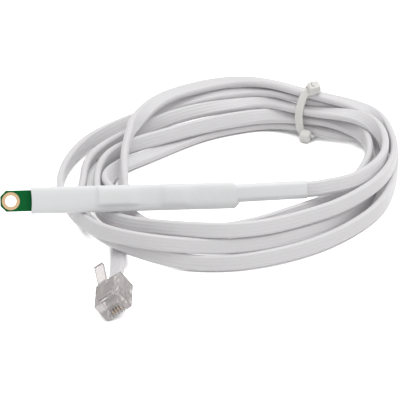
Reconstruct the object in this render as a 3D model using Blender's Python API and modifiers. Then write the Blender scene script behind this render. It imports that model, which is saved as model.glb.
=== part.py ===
"""Humidity and temperature probe on a coiled flat cable with a modular plug.

Metres, +Z up. The probe lies along X across its own coiled cable, leaning back on its long edge.
The root empty is moved at the end, so that the middle of the probe's box is the origin.
"""
import math

import bmesh
import bpy
import numpy as np
from mathutils import Matrix, Vector

# Clearances
SEAT = 0.00005            # between pieces that are bonded or soldered together
FIT = 0.00008             # between a shrunk sleeve and what it grips
TOUCH = 0.0003            # between soft pieces that lie on each other

# Circuit board, in the probe's own frame: X along it, Z square to it, component side up
PROBE_LENGTH = 0.0960
PROBE_LEAN = math.radians(58.0)      # the board's turn about X, from flat
BOARD_WIDTH = 0.0066
BOARD_LENGTH = 0.0670
BOARD_THICKNESS = 0.0010
TAB_CHAMFER = 0.0018
HOLE_RADIUS = 0.00175                # clears an M3 screw
HOLE_FROM_TIP = 0.0033
PAD_RADIUS = 0.0028
PLATING = 0.00010

# Parts on the board, by their distance from the tab's tip or from the board's cable end
SENSOR_SIZE = 0.0030
SENSOR_HEIGHT = 0.0009
SENSOR_WINDOW_RADIUS = 0.0006
SENSOR_WINDOW_DEPTH = 0.0004
SENSOR_FROM_TIP = 0.0165
CHIP_WIDTH = 0.0039
CHIP_HEIGHT = 0.00135
LEAD_PITCH = 0.00127
LEAD_WIDTH = 0.00045
LEAD_THICKNESS = 0.0002
LEAD_REACH = 0.0010
CONTROLLER_PINS = 14
CONTROLLER_FROM_TIP = 0.0356
CONTROLLER_SIDE = 0.0002
MEMORY_PINS = 8
MEMORY_FROM_END = 0.0123
SMALL_PART = (0.0020, 0.00125)
CAPACITOR_HEIGHT = 0.0009
RESISTOR_HEIGHT = 0.0005
CAPACITOR_FROM_TIP = 0.0250
RESISTOR_FROM_END = (0.0075, 0.0056)

# Sleeves
BOARD_SLEEVE_START = 0.0095          # bare tab in front of it
BOARD_SLEEVE_OVERHANG = 0.0062       # past the board's cable end
BOARD_SLEEVE_END = BOARD_LENGTH + BOARD_SLEEVE_OVERHANG
BOARD_SLEEVE_WIDTH = 0.0083
BOARD_SLEEVE_WALL = 0.00030
SLEEVE_BACK = 0.00120                # outer surface below the board's middle plane
SLEEVE_FRONT = 0.00200               # outer surface above it, between the chips
SLEEVE_BUMP = 0.00100                # what the controller adds to that
SLEEVE_BUMP_LOW = 0.00072            # what the memory adds to that
BUMP_MARGIN = 0.0006                 # how far a bump reaches past its chip's end
BUMP_EDGE = 0.0011                   # how soft its shoulders are
CROWN_MARGIN = 0.0004                # the same, across the board
CROWN_EDGE = 0.0007
LIP_LEAD = 0.0028                    # where the sleeve starts to close on the cable
LIP_LENGTH = 0.0045
PINCH_LENGTH = 0.0030                # the tapered end of the wide sleeve
MOUTH_DIP = 0.00035
MOUTH_DEPTH = 0.0020
CABLE_SLEEVE_WALL = 0.00030
CABLE_SLEEVE_GAP = 0.0024            # from the board's end to the narrow sleeve
CABLE_SLEEVE_START = BOARD_LENGTH + CABLE_SLEEVE_GAP
CABLE_SIDE = 0.00060                 # the cable's offset towards the board's upper edge
CABLE_SKEW = 0.0285                  # and its slope across the board

# Flat cable
CABLE_WIDTH = 0.0050
CABLE_THICKNESS = 0.0024
CONDUCTOR_RADIUS = 0.00048
CONDUCTOR_PITCH = 0.00114
CONDUCTORS = 4
JACKET_GAP = 0.0032                  # from the board's end to the jacket
JACKET_START = BOARD_LENGTH + JACKET_GAP
SOLDER_FROM_END = 0.0032
SOLDER_RADIUS = 0.00052
SOLDER_HEIGHT = 0.00080

# The floor that the coil and the plug lie on, below the probe's axis
FLOOR = -0.0120

# Modular plug: X towards its nose, Z towards its latch
PLUG_LENGTH = 0.0118
PLUG_WIDTH = 0.00965
PLUG_HEIGHT = 0.0066
PLUG_EDGE = 0.00035
PLUG_POSITIONS = 6
PLUG_PITCH = 0.00102
SLOT_WIDTH = 0.00056
SLOT_LENGTH = 0.0050
SLOT_DEPTH = 0.0029
CONTACT_THICKNESS = 0.00030
CONTACT_LENGTH = 0.0037
CONTACT_RECESS = 0.0005
POCKET_DEPTH = 0.0063
POCKET_MARGIN = 0.0003
CHANNEL_RADIUS = 0.00060
LATCH_THICKNESS = 0.0010
LATCH_SINK = 0.0005
LATCH_RISE = 0.0044
LATCH_OVERHANG = 0.0017
LATCH_WIDTH = 0.0032
LATCH_ROOT_WIDTH = 0.0060
LATCH_ROOT_LENGTH = 0.0042
PLUG_TURN = math.radians(-94.0)
PLUG_ROLL = math.radians(37.5)
PLUG_NOSE = Vector((-0.0145, -0.0514))   # plan position of the nose's middle

# Cable tie
STRAP_WIDTH = 0.0026
STRAP_THICKNESS = 0.0010
STRAP_SLACK = 0.0006
HEAD_SIZE = (0.0046, 0.0040, 0.0036)     # round the loop, along the cable and out from it
HEAD_TURN = math.radians(-72.0)          # from the loop's upper end towards the rear
TIE_TAIL = 0.0014

# The coil's outer shape, round from the right-hand end towards the rear.
# Each row: centre x, y and height above the floor, half length, half thickness, tilt
COIL_STATIONS = (
    (0.0740, 0.0291, 0.0062, 0.0059, 0.0058, 0),
    (0.0743, 0.0411, 0.0063, 0.0064, 0.0055, 14),
    (0.0707, 0.0502, 0.0066, 0.0075, 0.0044, 26),
    (0.0609, 0.0543, 0.0078, 0.0079, 0.0040, 46),
    (0.0511, 0.0571, 0.0088, 0.0069, 0.0030, 66),
    (0.0408, 0.0627, 0.0072, 0.0086, 0.0033, 46),
    (0.0305, 0.0656, 0.0067, 0.0111, 0.0032, 26),
    (0.0168, 0.0620, 0.0061, 0.0116, 0.0031, 20),
    (0.0038, 0.0553, 0.0047, 0.0113, 0.0030, 9),
    (-0.0060, 0.0506, 0.0036, 0.0102, 0.0028, 3),
    (-0.0148, 0.0438, 0.0029, 0.0089, 0.0026, 0),
    (-0.0206, 0.0247, 0.0029, 0.0086, 0.0026, 0),
    (-0.0211, 0.0133, 0.0038, 0.0084, 0.0026, -3),
    (-0.0181, 0.0027, 0.0051, 0.0086, 0.0023, -4),
    (-0.0148, -0.0040, 0.0056, 0.0084, 0.0024, -3),
    (-0.0104, -0.0100, 0.0068, 0.0082, 0.0030, -6),
    (-0.0011, -0.0155, 0.0072, 0.0078, 0.0041, -20),
    (0.0104, -0.0182, 0.0068, 0.0080, 0.0041, -32),
    (0.0226, -0.0186, 0.0068, 0.0082, 0.0040, -38),
    (0.0354, -0.0157, 0.0067, 0.0083, 0.0038, -36),
    (0.0478, -0.0109, 0.0059, 0.0074, 0.0038, -24),
    (0.0583, -0.0034, 0.0058, 0.0074, 0.0037, -20),
    (0.0667, 0.0074, 0.0062, 0.0076, 0.0048, -22),
)
COIL_STEPS = 3             # sections from one station to the next
COIL_SIDES = 16
TIE_STATION = 4

# The cable where it isn't coiled: x, y, height above the floor, and its roll from flat.
# The lead runs from the jacket's start, inside the sleeve, to the coil.
LEAD_ROUTE = (
    (0.0505, 0.0008, 0.0131, 58.0),
    (0.0529, 0.0014, 0.0131, 58.0),
    (0.0553, 0.0025, 0.0129, 58.0),
)
# The tail leaves the top of the coil at the rear left and ends in the plug.
TAIL_ROUTE = (
    (0.0040, 0.0600, 0.0122, 120.0),
    (-0.0002, 0.0563, 0.0118, 106.0),
    (-0.0036, 0.0505, 0.0106, 97.0),
    (-0.0058, 0.0448, 0.0094, 92.0),
    (-0.0077, 0.0373, 0.0076, 88.0),
    (-0.0086, 0.0293, 0.0057, 80.0),
    (-0.0090, 0.0211, 0.0040, 64.0),
    (-0.0094, 0.0132, 0.0022, 32.0),
    (-0.0101, 0.0043, 0.0014, 6.0),
    (-0.0108, -0.0051, 0.0013, 0.0),
    (-0.0115, -0.0134, 0.0014, 4.0),
    (-0.0120, -0.0210, 0.0021, 16.0),
    (-0.0125, -0.0276, 0.0034, 30.0),
    (-0.0131, -0.0340, 0.0048, 36.0),
)


def clear_scene():
    """Removes whatever the file holds."""
    for old in list(bpy.data.objects):
        bpy.data.objects.remove(old, do_unlink=True)
    for collection in list(bpy.data.collections):
        bpy.data.collections.remove(collection)


def new_collection(name):
    collection = bpy.data.collections.new(name)
    bpy.context.scene.collection.children.link(collection)
    return collection


clear_scene()
PARTS = new_collection("humidity_sensor")
CUTTERS = new_collection("cutters")


def new_empty(name, parent=None):
    empty = bpy.data.objects.new(name, None)
    empty.parent = parent
    PARTS.objects.link(empty)
    return empty


ROOT = new_empty("sensor_root")
PROBE = new_empty("probe_pose", ROOT)
PLUG = new_empty("plug_pose", ROOT)


def make_material(name, color, roughness, metallic=0.0, alpha=1.0):
    """A plain Principled BSDF."""
    material = bpy.data.materials.new(name)
    material.use_nodes = True
    shader = material.node_tree.nodes["Principled BSDF"]
    shader.inputs["Base Color"].default_value = (*color, 1.0)
    shader.inputs["Roughness"].default_value = roughness
    shader.inputs["Metallic"].default_value = metallic
    shader.inputs["Alpha"].default_value = alpha
    material.diffuse_color = (*color, alpha)
    return material


BOARD_GREEN = make_material("solder_mask", (0.012, 0.11, 0.055), 0.35)
GOLD = make_material("gold_plate", (0.80, 0.56, 0.26), 0.30, 1.0)
EPOXY = make_material("chip_epoxy", (0.02, 0.02, 0.022), 0.55)
CERAMIC = make_material("ceramic", (0.45, 0.36, 0.26), 0.50)
SOLDER = make_material("solder", (0.70, 0.70, 0.72), 0.30, 1.0)
SHRINK = make_material("white_shrink_sleeve", (0.72, 0.73, 0.74), 0.45)
JACKET = make_material("white_cable_jacket", (0.66, 0.66, 0.67), 0.42)
CLEAR = make_material("clear_polycarbonate", (0.72, 0.73, 0.72), 0.12, 0.0, 0.45)
NYLON = make_material("natural_nylon", (0.66, 0.65, 0.58), 0.45)
CORE_COLORS = ((0.02, 0.02, 0.02), (0.45, 0.03, 0.03), (0.02, 0.20, 0.05), (0.60, 0.48, 0.04))
CORES = [make_material(f"core_{i + 1}", color, 0.5) for i, color in enumerate(CORE_COLORS)]


def place(name, data, material, parent, location=(0, 0, 0)):
    """Puts mesh or curve data into the scene as one node."""
    piece = bpy.data.objects.new(name, data)
    data.materials.append(material)
    piece.parent = parent
    piece.location = location
    PARTS.objects.link(piece)
    return piece


def cutter(name, mesh, parent, location=(0, 0, 0)):
    """A hidden tool for a Boolean."""
    tool = bpy.data.objects.new(name, mesh)
    tool.parent = parent
    tool.location = location
    tool.hide_render = True
    tool.display_type = "WIRE"
    CUTTERS.objects.link(tool)
    return tool


def combine(piece, tool, operation):
    """A live Boolean on the piece."""
    step = piece.modifiers.new(tool.name, "BOOLEAN")
    step.operation = operation
    step.object = tool
    step.solver = "EXACT"
    return step


def bevel(piece, width, segments=2):
    step = piece.modifiers.new("edges", "BEVEL")
    step.width = width
    step.segments = segments
    step.limit_method = "ANGLE"
    return step


def box_mesh(name, size, centre=(0, 0, 0)):
    """A box of the given size about a centre."""
    mesh = bpy.data.meshes.new(name)
    bm = bmesh.new()
    bmesh.ops.create_cube(bm, size=1.0)
    bmesh.ops.scale(bm, vec=size, verts=bm.verts)
    bmesh.ops.translate(bm, vec=centre, verts=bm.verts)
    bm.to_mesh(mesh)
    bm.free()
    return mesh


def rod_mesh(name, radius, start, end, sides=20):
    """A straight round bar along X from start to end, at the given y and z."""
    mesh = bpy.data.meshes.new(name)
    length = end[0] - start[0]
    middle = (Vector(start) + Vector(end)) / 2
    turn = Matrix.Translation(middle) @ Matrix.Rotation(math.pi / 2, 4, "Y")
    bm = bmesh.new()
    bmesh.ops.create_cone(bm, cap_ends=True, segments=sides, radius1=radius, radius2=radius,
                          depth=length, matrix=turn)
    bm.to_mesh(mesh)
    bm.free()
    return mesh


def prism_mesh(name, outline, half_depth, plane="XZ"):
    """A flat outline pulled both ways out of its plane; outline points run round it once."""
    mesh = bpy.data.meshes.new(name)
    bm = bmesh.new()
    rings = []
    for depth in (-half_depth, half_depth):
        points = [(a, depth, b) if plane == "XZ" else (a, b, depth) for a, b in outline]
        rings.append([bm.verts.new(point) for point in points])
    bm.faces.new(rings[0])
    bm.faces.new(rings[1][::-1])
    for i in range(len(outline)):
        j = (i + 1) % len(outline)
        bm.faces.new((rings[0][i], rings[1][i], rings[1][j], rings[0][j]))
    bmesh.ops.recalc_face_normals(bm, faces=bm.faces)
    bm.to_mesh(mesh)
    bm.free()
    return mesh


def stadium_outline(length, height, steps=6):
    """A flat bar's section with round ends, as points about its middle."""
    radius = height / 2
    straight = (length - height) / 2
    points = []
    for side, first in ((1, -90), (-1, 90)):
        for i in range(steps + 1):
            angle = math.radians(first + 180 * i / steps)
            points.append((side * straight + radius * math.cos(angle), radius * math.sin(angle)))
    return points


def polyline(spline, points, closed):
    """Fills a POLY spline."""
    spline.points.add(len(points) - 1)
    for knot, point in zip(spline.points, points):
        knot.co = (*point, 1.0)
    spline.use_cyclic_u = closed


def flat_curve(name, outlines, thickness):
    """A plate from closed outlines in its plane: the first is its edge, the rest are holes."""
    curve = bpy.data.curves.new(name, "CURVE")
    curve.dimensions = "2D"
    curve.fill_mode = "BOTH"
    curve.extrude = thickness / 2
    curve.render_resolution_u = 0
    for outline in outlines:
        polyline(curve.splines.new("POLY"), [(x, y, 0) for x, y in outline], True)
    return curve


def circle(radius, centre, count):
    """Points round a circle, in order."""
    turns = [2 * math.pi * i / count for i in range(count)]
    return [(centre[0] + radius * math.cos(a), centre[1] + radius * math.sin(a)) for a in turns]


def screw_piece(name, profile, material, parent, location, steps=32):
    """A turned piece about Z: profile points (radius, height) run down its outer side."""
    mesh = bpy.data.meshes.new(name)
    count = len(profile)
    edges = [(i, (i + 1) % count) for i in range(count)]
    closed = min(r for r, z in profile) > 0
    if not closed:
        edges = edges[:-1]
    mesh.from_pydata([(r, 0, z) for r, z in profile], edges, [])
    piece = place(name, mesh, material, parent, location)
    turn = piece.modifiers.new("turn", "SCREW")
    turn.steps = steps
    turn.render_steps = steps
    turn.use_merge_vertices = True
    turn.merge_threshold = 0.000001
    turn.use_normal_calculate = True
    turn.use_normal_flip = closed
    return piece


def from_tip(distance):
    """Probe-frame x of a point that far from the tab's tip."""
    return distance - PROBE_LENGTH / 2


BOARD_TOP = BOARD_THICKNESS / 2


def make_board():
    """Circuit board with a chamfered tab, and the plated hole's eyelet."""
    half = BOARD_WIDTH / 2
    tip, end, cut = from_tip(0), from_tip(BOARD_LENGTH), TAB_CHAMFER
    edge = [(tip, -half + cut), (tip + cut, -half), (end, -half), (end, half), (tip + cut, half), (tip, half - cut)]
    hole_x = from_tip(HOLE_FROM_TIP)
    hole = circle(HOLE_RADIUS + PLATING + SEAT, (hole_x, 0), 40)
    place("circuit_board", flat_curve("circuit_board", [edge, hole], BOARD_THICKNESS), BOARD_GREEN, PROBE)
    face = BOARD_TOP + SEAT
    barrel = HOLE_RADIUS + PLATING
    profile = [(HOLE_RADIUS, face + PLATING), (PAD_RADIUS, face + PLATING), (PAD_RADIUS, face), (barrel, face),
               (barrel, -face), (PAD_RADIUS, -face), (PAD_RADIUS, -face - PLATING), (HOLE_RADIUS, -face - PLATING)]
    screw_piece("hole_plating", profile, GOLD, PROBE, (hole_x, 0, 0), 40)


def make_sensor_chip():
    """Humidity chip with its sensing window, just inside the sleeve's mouth."""
    centre = (from_tip(SENSOR_FROM_TIP), 0, BOARD_TOP + SEAT + SENSOR_HEIGHT / 2)
    chip = place("humidity_chip", box_mesh("humidity_chip", (SENSOR_SIZE, SENSOR_SIZE, SENSOR_HEIGHT)), EPOXY,
                 PROBE, centre)
    mesh = bpy.data.meshes.new("sensing_window")
    bm = bmesh.new()
    bmesh.ops.create_cone(bm, cap_ends=True, segments=24, radius1=SENSOR_WINDOW_RADIUS * 0.8,
                          radius2=SENSOR_WINDOW_RADIUS, depth=2 * SENSOR_WINDOW_DEPTH)
    bm.to_mesh(mesh)
    bm.free()
    window = cutter("sensing_window", mesh, PROBE, (centre[0], 0, centre[2] + SENSOR_HEIGHT / 2))
    combine(chip, window, "DIFFERENCE")
    bevel(chip, 0.00008, 1)


def make_leaded_chip(name, pins, distance, side):
    """Small-outline chip with gull-wing leads down both sides, as one solid."""
    length = LEAD_PITCH * pins / 2 + 0.0002
    foot = BOARD_TOP + SEAT
    centre_z = foot + CHIP_HEIGHT / 2 + LEAD_THICKNESS / 2
    body = place(name, box_mesh(name, (length, CHIP_WIDTH, CHIP_HEIGHT)), EPOXY, PROBE,
                 (from_tip(distance), side, centre_z))
    bevel(body, 0.00015, 1)
    shoulder, inner = 0.0, CHIP_WIDTH / 2
    low = foot - centre_z
    drop, out = inner + LEAD_REACH * 0.45, inner + LEAD_REACH
    half = LEAD_THICKNESS / 2
    wing = [(inner - 0.0004, shoulder - half), (drop - half, shoulder - half), (drop, low), (out, low),
            (out, low + LEAD_THICKNESS), (drop + 2 * half, low + LEAD_THICKNESS), (drop + half, shoulder + half),
            (inner - 0.0004, shoulder + half)]
    bm = bmesh.new()
    for row in range(pins // 2):
        along = (row - (pins / 2 - 1) / 2) * LEAD_PITCH
        for turn in (0, math.pi):
            lead = prism_mesh("lead", wing, LEAD_WIDTH / 2)
            lead.transform(Matrix.Translation((along, 0, 0)) @ Matrix.Rotation(math.pi / 2 + turn, 4, "Z"))
            bm.from_mesh(lead)
            bpy.data.meshes.remove(lead)
    leads = bpy.data.meshes.new(name + "_leads")
    bm.to_mesh(leads)
    bm.free()
    combine(body, cutter(name + "_leads", leads, PROBE, body.location), "UNION")


def make_small_part(name, distance, height, material):
    """Two-terminal chip part across the board: a thin middle between raised end caps."""
    length, width = SMALL_PART
    piece = place(name, box_mesh(name, (width, length, height)), material, PROBE,
                  (from_tip(distance), 0, BOARD_TOP + SEAT + height / 2))
    bevel(piece, 0.0001, 1)
    notch = box_mesh(name + "_middle", (width * 2, length * 0.5, height * 0.2), (0, 0, height * 0.55))
    combine(piece, cutter(name + "_middle", notch, PROBE, piece.location), "DIFFERENCE")


def plateau(distance, centre, half, edge):
    """1 over a raised stretch and 0 away from it, with soft shoulders of the given edge."""
    outside = (np.abs(distance - centre) - half) / edge
    return 1.0 / (1.0 + np.exp(4.0 * outside))


def cable_side(along):
    """How far the cable and its sleeve lie to one side of the board's middle, at a distance from the tip."""
    return CABLE_SIDE + CABLE_SKEW * (along - BOARD_SLEEVE_END)


def sleeve_outline(along, turn):
    """The board sleeve's outer surface: along is the distance from the tip, turn goes round it."""
    lip = np.clip((along - (BOARD_LENGTH - LIP_LEAD)) / LIP_LENGTH, 0, 1)
    lip = lip * lip * (3 - 2 * lip)
    pinch = np.clip((along - (BOARD_SLEEVE_END - PINCH_LENGTH)) / PINCH_LENGTH, 0, 1) ** 2
    layers = 2 * FIT + CABLE_SLEEVE_WALL + BOARD_SLEEVE_WALL
    half_width = BOARD_SLEEVE_WIDTH / 2 * (1 - pinch) + (CABLE_WIDTH / 2 + layers) * pinch
    bump = plateau(along, CONTROLLER_FROM_TIP, LEAD_PITCH * CONTROLLER_PINS / 4 + BUMP_MARGIN, BUMP_EDGE)
    low_bump = plateau(along, BOARD_LENGTH - MEMORY_FROM_END, LEAD_PITCH * MEMORY_PINS / 4 + BUMP_MARGIN, BUMP_EDGE)
    cosine, sine = np.cos(turn), np.sin(turn)
    flank = half_width * np.sign(cosine) * np.abs(cosine) ** 0.62
    across = flank + cable_side(along) * pinch
    grip = CABLE_THICKNESS / 2 + layers
    front = (SLEEVE_FRONT * (1 - lip) + grip * lip)
    back = (SLEEVE_BACK * (1 - lip) + grip * lip)
    crown = plateau(across, CONTROLLER_SIDE, CHIP_WIDTH / 2 + CROWN_MARGIN, CROWN_EDGE)
    raised = front + (SLEEVE_BUMP * bump + SLEEVE_BUMP_LOW * low_bump) * crown
    height = np.where(sine >= 0, raised, back) * np.sign(sine) * np.abs(sine) ** 0.55
    return across, height


def shell_from_grid(name, rows, wall, material):
    """A tube skinned over equal rings of points, walled inwards."""
    rings, sides = rows.shape[0], rows.shape[1]
    mesh = bpy.data.meshes.new(name)
    faces = []
    for i in range(rings - 1):
        for j in range(sides):
            k = (j + 1) % sides
            faces.append((i * sides + j, (i + 1) * sides + j, (i + 1) * sides + k, i * sides + k))
    mesh.from_pydata(rows.reshape(-1, 3).tolist(), [], faces)
    bm = bmesh.new()
    bm.from_mesh(mesh)
    bmesh.ops.recalc_face_normals(bm, faces=bm.faces)
    bm.to_mesh(mesh)
    bm.free()
    mesh.shade_smooth()
    piece = place(name, mesh, material, PROBE)
    step = piece.modifiers.new("wall", "SOLIDIFY")
    step.thickness = wall
    step.offset = -1.0
    return piece


def make_board_sleeve():
    """Wide shrink sleeve: it tents over the chips and closes on the cable's sleeve behind the board."""
    stations = np.linspace(BOARD_SLEEVE_START, BOARD_SLEEVE_END, 44)
    turns = np.linspace(0, 2 * np.pi, 28, endpoint=False) + math.pi / 28
    along, turn = np.meshgrid(stations, turns, indexing="ij")
    across, height = sleeve_outline(along, turn)
    mouth = np.clip(1 - (along - BOARD_SLEEVE_START) / MOUTH_DEPTH, 0, 1)
    dip = MOUTH_DIP * mouth * (1 - (2 * across / BOARD_SLEEVE_WIDTH) ** 2)
    rows = np.stack([along + dip - PROBE_LENGTH / 2, across, height], axis=-1)
    shell_from_grid("board_sleeve", rows, BOARD_SLEEVE_WALL, SHRINK)


def make_cable_sleeve():
    """Narrow shrink sleeve over the jacket, from inside the wide one to the cable's exit."""
    gap = FIT + CABLE_SLEEVE_WALL
    outline = stadium_outline(CABLE_WIDTH + 2 * gap, CABLE_THICKNESS + 2 * gap, 8)
    stations = np.linspace(CABLE_SLEEVE_START, PROBE_LENGTH, 5)
    rows = np.array([[(from_tip(d), cable_side(d) + y, z) for y, z in outline] for d in stations])
    shell_from_grid("cable_sleeve", rows, CABLE_SLEEVE_WALL, SHRINK)


def core_offset(index):
    """Side offset of one conductor from the cable's middle."""
    return (index - (CONDUCTORS - 1) / 2) * CONDUCTOR_PITCH


def wire_curve(name, points, radius):
    """Round wire through the points."""
    curve = bpy.data.curves.new(name, "CURVE")
    curve.dimensions = "3D"
    curve.bevel_depth = radius
    curve.bevel_resolution = 2
    curve.use_fill_caps = True
    curve.render_resolution_u = 0
    polyline(curve.splines.new("POLY"), points, False)
    return curve


def make_board_wiring():
    """Four conductors rise from the jacket's end to their solder joints on the board."""
    joint_x = from_tip(BOARD_LENGTH - SOLDER_FROM_END)
    start = from_tip(JACKET_START) - SEAT - CABLE_WIDTH / 2 * CABLE_SKEW
    lifted = BOARD_TOP + SEAT + CONDUCTOR_RADIUS
    end = joint_x + SOLDER_RADIUS + SEAT
    clear = from_tip(BOARD_LENGTH) + 0.0002
    dome = [(0.0, SOLDER_HEIGHT)]
    dome += [(SOLDER_RADIUS * math.sin(a), SOLDER_HEIGHT * math.cos(a)) for a in np.radians(range(18, 91, 18))]
    dome += [(0.0, 0.0)]
    for i in range(CONDUCTORS):
        y = core_offset(i) + cable_side(JACKET_START)
        points = [(start, y, 0.0)]
        for share in np.linspace(0, 1, 9):
            rise = share * share * (3 - 2 * share)
            points.append((start - 0.0003 + (clear - start + 0.0003) * share, y, lifted * rise))
        points.append((end, y, lifted))
        place(f"board_conductor_{i + 1}", wire_curve("conductor", points, CONDUCTOR_RADIUS), CORES[i], PROBE)
        screw_piece(f"solder_joint_{i + 1}", dome, SOLDER, PROBE, (joint_x, y, BOARD_TOP + SEAT), 16)


def cubic_through(values, steps, closed):
    """Points along a smooth curve through rows of values, by Catmull and Rom's blend."""
    rows = np.array(values, dtype=float)
    count = len(rows)
    last = count if closed else count - 1
    shares = np.arange(last * steps + (0 if closed else 1)) / steps
    base = np.minimum(shares.astype(int), last - 1)
    s = (shares - base)[:, None]

    def row(offset):
        index = base + offset
        return rows[index % count] if closed else rows[np.clip(index, 0, count - 1)]

    before, here, there, after = row(-1), row(0), row(1), row(2)
    return 0.5 * (2 * here + (there - before) * s + (2 * before - 5 * here + 4 * there - after) * s ** 2
                  + (3 * here - before - 3 * there + after) * s ** 3)


def ring_axes(points):
    """Horizontal outward directions beside a closed, level run of points."""
    run = np.roll(points, -1, axis=0) - np.roll(points, 1, axis=0)
    run[:, 2] = 0
    run /= np.linalg.norm(run, axis=1)[:, None]
    return np.cross(run, (0, 0, 1.0))


def make_coil():
    """The coiled turns' outer shape, as one ring skinned over leaning oval sections."""
    rows = cubic_through(COIL_STATIONS, COIL_STEPS, True)
    centres = rows[:, :3] + (0, 0, FLOOR)
    outward = ring_axes(centres)
    tilt = np.radians(rows[:, 5])[:, None]
    up = np.array((0, 0, 1.0))
    long_axis = np.cos(tilt) * outward + np.sin(tilt) * up
    thin_axis = np.cos(tilt) * up - np.sin(tilt) * outward
    turns = np.linspace(0, 2 * np.pi, COIL_SIDES, endpoint=False)
    wide = np.sign(np.cos(turns)) * np.abs(np.cos(turns)) ** 0.75
    tall = np.sign(np.sin(turns)) * np.abs(np.sin(turns)) ** 0.75
    grid = (centres[:, None] + wide[None, :, None] * (rows[:, 3:4] * long_axis)[:, None]
            + tall[None, :, None] * (rows[:, 4:5] * thin_axis)[:, None])
    count = len(grid)
    faces = []
    for i in range(count):
        for j in range(COIL_SIDES):
            k, m = (i + 1) % count, (j + 1) % COIL_SIDES
            faces.append((i * COIL_SIDES + j, k * COIL_SIDES + j, k * COIL_SIDES + m, i * COIL_SIDES + m))
    mesh = bpy.data.meshes.new("cable_coil")
    mesh.from_pydata(grid.reshape(-1, 3).tolist(), [], faces)
    bm = bmesh.new()
    bm.from_mesh(mesh)
    bmesh.ops.recalc_face_normals(bm, faces=bm.faces)
    bm.to_mesh(mesh)
    bm.free()
    mesh.shade_smooth()
    place("cable_coil", mesh, JACKET, ROOT)


def flat_section():
    """The cable's section, for sweeping along a route."""
    curve = bpy.data.curves.new("cable_section", "CURVE")
    curve.dimensions = "2D"
    outline = stadium_outline(CABLE_WIDTH, CABLE_THICKNESS, 4)
    polyline(curve.splines.new("POLY"), [(x, y, 0) for x, y in outline[::-1]], True)
    section = bpy.data.objects.new("cable_section", curve)
    section.hide_render = True
    section.display_type = "WIRE"
    CUTTERS.objects.link(section)
    return section


def cable_run(name, rows, section):
    """Flat cable along route points, each with its roll from flat in degrees."""
    curve = bpy.data.curves.new(name, "CURVE")
    curve.dimensions = "3D"
    curve.twist_mode = "Z_UP"
    curve.bevel_mode = "OBJECT"
    curve.bevel_object = section
    curve.use_fill_caps = True
    curve.render_resolution_u = 0
    polyline(curve.splines.new("POLY"), [tuple(row[:3]) for row in rows], False)
    for knot, row in zip(curve.splines[0].points, rows):
        knot.tilt = math.radians(row[3])
    place(name, curve, JACKET, ROOT)


def plug_matrix():
    """The plug's pose: rolled over on its edge, with its lowest corner on the floor."""
    turn = Matrix.Rotation(PLUG_TURN, 4, "Z") @ Matrix.Rotation(PLUG_ROLL, 4, "X")
    reach = PLUG_WIDTH / 2 * math.sin(PLUG_ROLL) + PLUG_HEIGHT / 2 * math.cos(PLUG_ROLL)
    axis = turn @ Vector((1, 0, 0))
    nose = Vector((*PLUG_NOSE, FLOOR + reach - PLUG_EDGE * 0.4))
    return Matrix.Translation(nose - axis * PLUG_LENGTH / 2) @ turn


def make_cable_runs():
    """The lead out of the sleeve, and the tail into the plug."""
    section = flat_section()
    width_axis = Matrix.Rotation(PROBE_LEAN, 3, "X") @ Vector((0, 1, 0))
    roll = math.degrees(PROBE_LEAN)
    lead = []
    for distance in np.linspace(JACKET_START, PROBE_LENGTH, 4):
        side = width_axis * cable_side(distance)
        lead.append((from_tip(distance), side.y, side.z, roll))
    lead += [(x, y, h + FLOOR, turned) for x, y, h, turned in LEAD_ROUTE]
    cable_run("cable_lead", lead, section)
    pose = plug_matrix()
    roll = math.degrees(PLUG_ROLL)
    seat = POCKET_DEPTH - TOUCH - PLUG_LENGTH / 2
    inside = [(*(pose @ Vector((x, 0, 0))), roll) for x in (-PLUG_LENGTH / 2 - 0.0006, -0.004, seat)]
    tail = [(x, y, h + FLOOR, turned) for x, y, h, turned in TAIL_ROUTE] + inside
    cable_run("cable_tail", cubic_through(tail, 2, False).tolist(), section)


def latch_mesh():
    """The latch: a stepped plate in plan, sheared so that it rises from the nose to the back."""
    root = PLUG_LENGTH / 2 - 0.0004
    shoulder = root - LATCH_ROOT_LENGTH
    tip = -PLUG_LENGTH / 2 - LATCH_OVERHANG
    wide, narrow = LATCH_ROOT_WIDTH / 2, LATCH_WIDTH / 2
    plan = [(root, wide), (shoulder, wide), (shoulder - 0.0006, narrow), (tip, narrow)]
    plan += [(x, -y) for x, y in plan[::-1]]
    mesh = prism_mesh("latch", plan, LATCH_THICKNESS / 2, "XY")
    slope = LATCH_RISE / (root - tip)
    level = PLUG_HEIGHT / 2 - LATCH_SINK + LATCH_THICKNESS / 2
    mesh.transform(Matrix(((1, 0, 0, 0), (0, 1, 0, 0), (-slope, 0, 1, level + slope * root), (0, 0, 0, 1))))
    return mesh


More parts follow.
